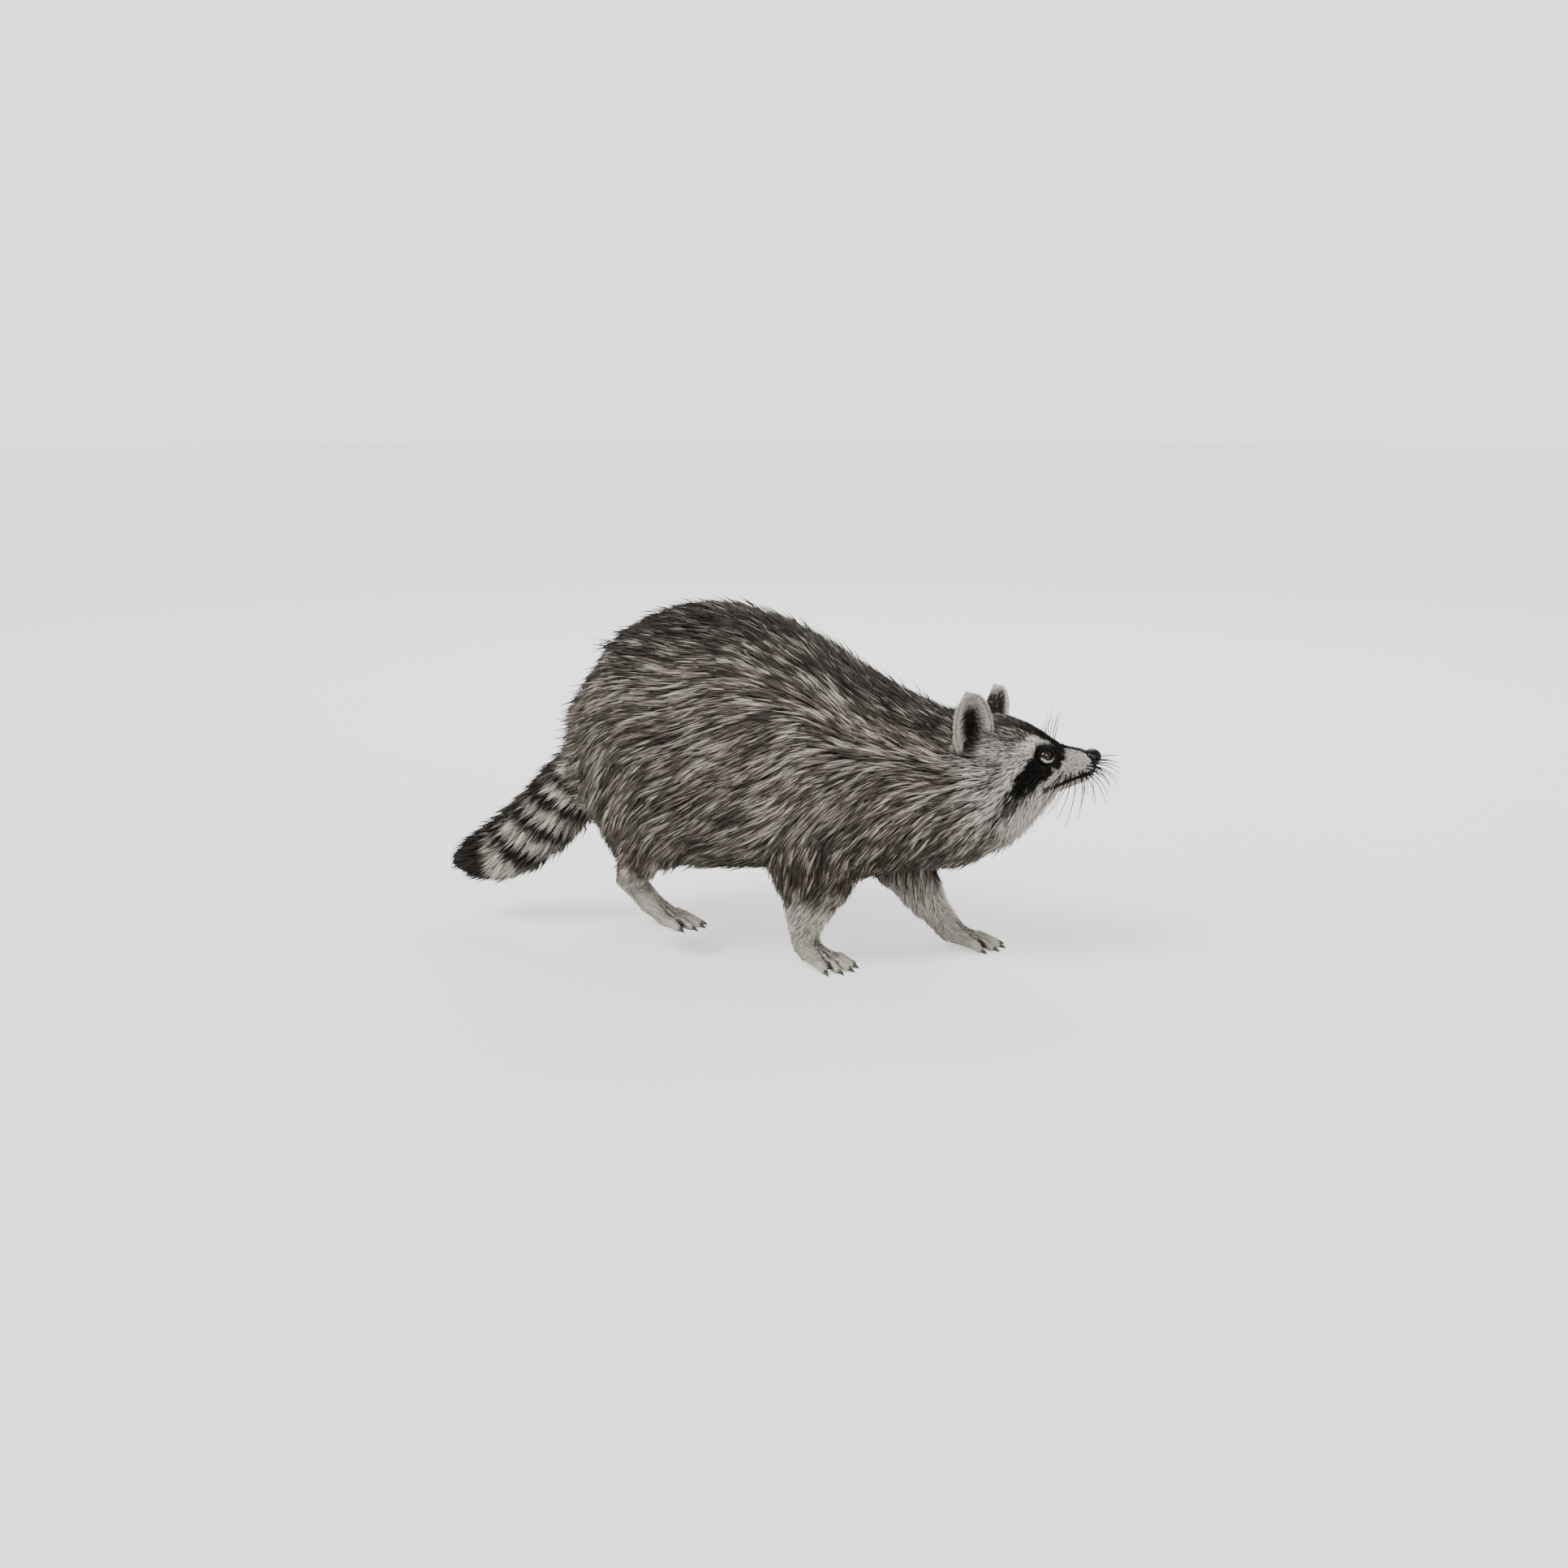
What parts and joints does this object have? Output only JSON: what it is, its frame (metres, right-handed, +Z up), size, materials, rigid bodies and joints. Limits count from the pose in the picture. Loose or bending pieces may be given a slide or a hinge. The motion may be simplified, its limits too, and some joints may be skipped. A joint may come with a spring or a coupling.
{
  "type": "raccoon",
  "caption": "Life-size still raccoon in mid walk: arched back, masked face, ringed bushy tail, three clawed feet on the floor, right hind foot lifted.",
  "frame": {"origin": "on the floor, under the middle of the bounding box", "axes": "+X towards the nose along the body, +Y to the animal's left, +Z up"},
  "size_m": [0.64, 0.2028, 0.3317],
  "materials": {
    "coat": "grizzled grey-brown fur",
    "ringed_coat": "bushy fur in dark and pale rings",
    "face_fur": "short fur, dark mask on pale cheeks",
    "foot_fur": "short pale fur",
    "eye": "wet, dark brown",
    "nose": "moist black skin",
    "claw": "dark horn"
  },
  "bodies": {
    "root": {"claw_forefoot_left_1": "claw", "claw_forefoot_left_2": "claw", "claw_forefoot_left_3": "claw", "claw_forefoot_left_4": "claw", "claw_forefoot_left_5": "claw", "claw_forefoot_right_1": "claw", "claw_forefoot_right_2": "claw", "claw_forefoot_right_3": "claw", "claw_forefoot_right_4": "claw", "claw_forefoot_right_5": "claw", "claw_hindfoot_left_1": "claw", "claw_hindfoot_left_2": "claw", "claw_hindfoot_left_3": "claw", "claw_hindfoot_left_4": "claw", "claw_hindfoot_left_5": "claw", "claw_hindfoot_right_1": "claw", "claw_hindfoot_right_2": "claw", "claw_hindfoot_right_3": "claw", "claw_hindfoot_right_4": "claw", "claw_hindfoot_right_5": "claw", "ear_left": "face_fur", "ear_right": "face_fur", "eye_left": "eye", "eye_right": "eye", "forefoot_left": "foot_fur", "forefoot_right": "foot_fur", "foreleg_left": "coat", "foreleg_right": "coat", "head": "face_fur", "hindfoot_left": "foot_fur", "hindfoot_right": "foot_fur", "hindleg_left": "coat", "hindleg_right": "coat", "lower_jaw": "face_fur", "neck": "coat", "nose": "nose", "tail": "ringed_coat", "torso": "coat"}
  },
  "joints": []
}
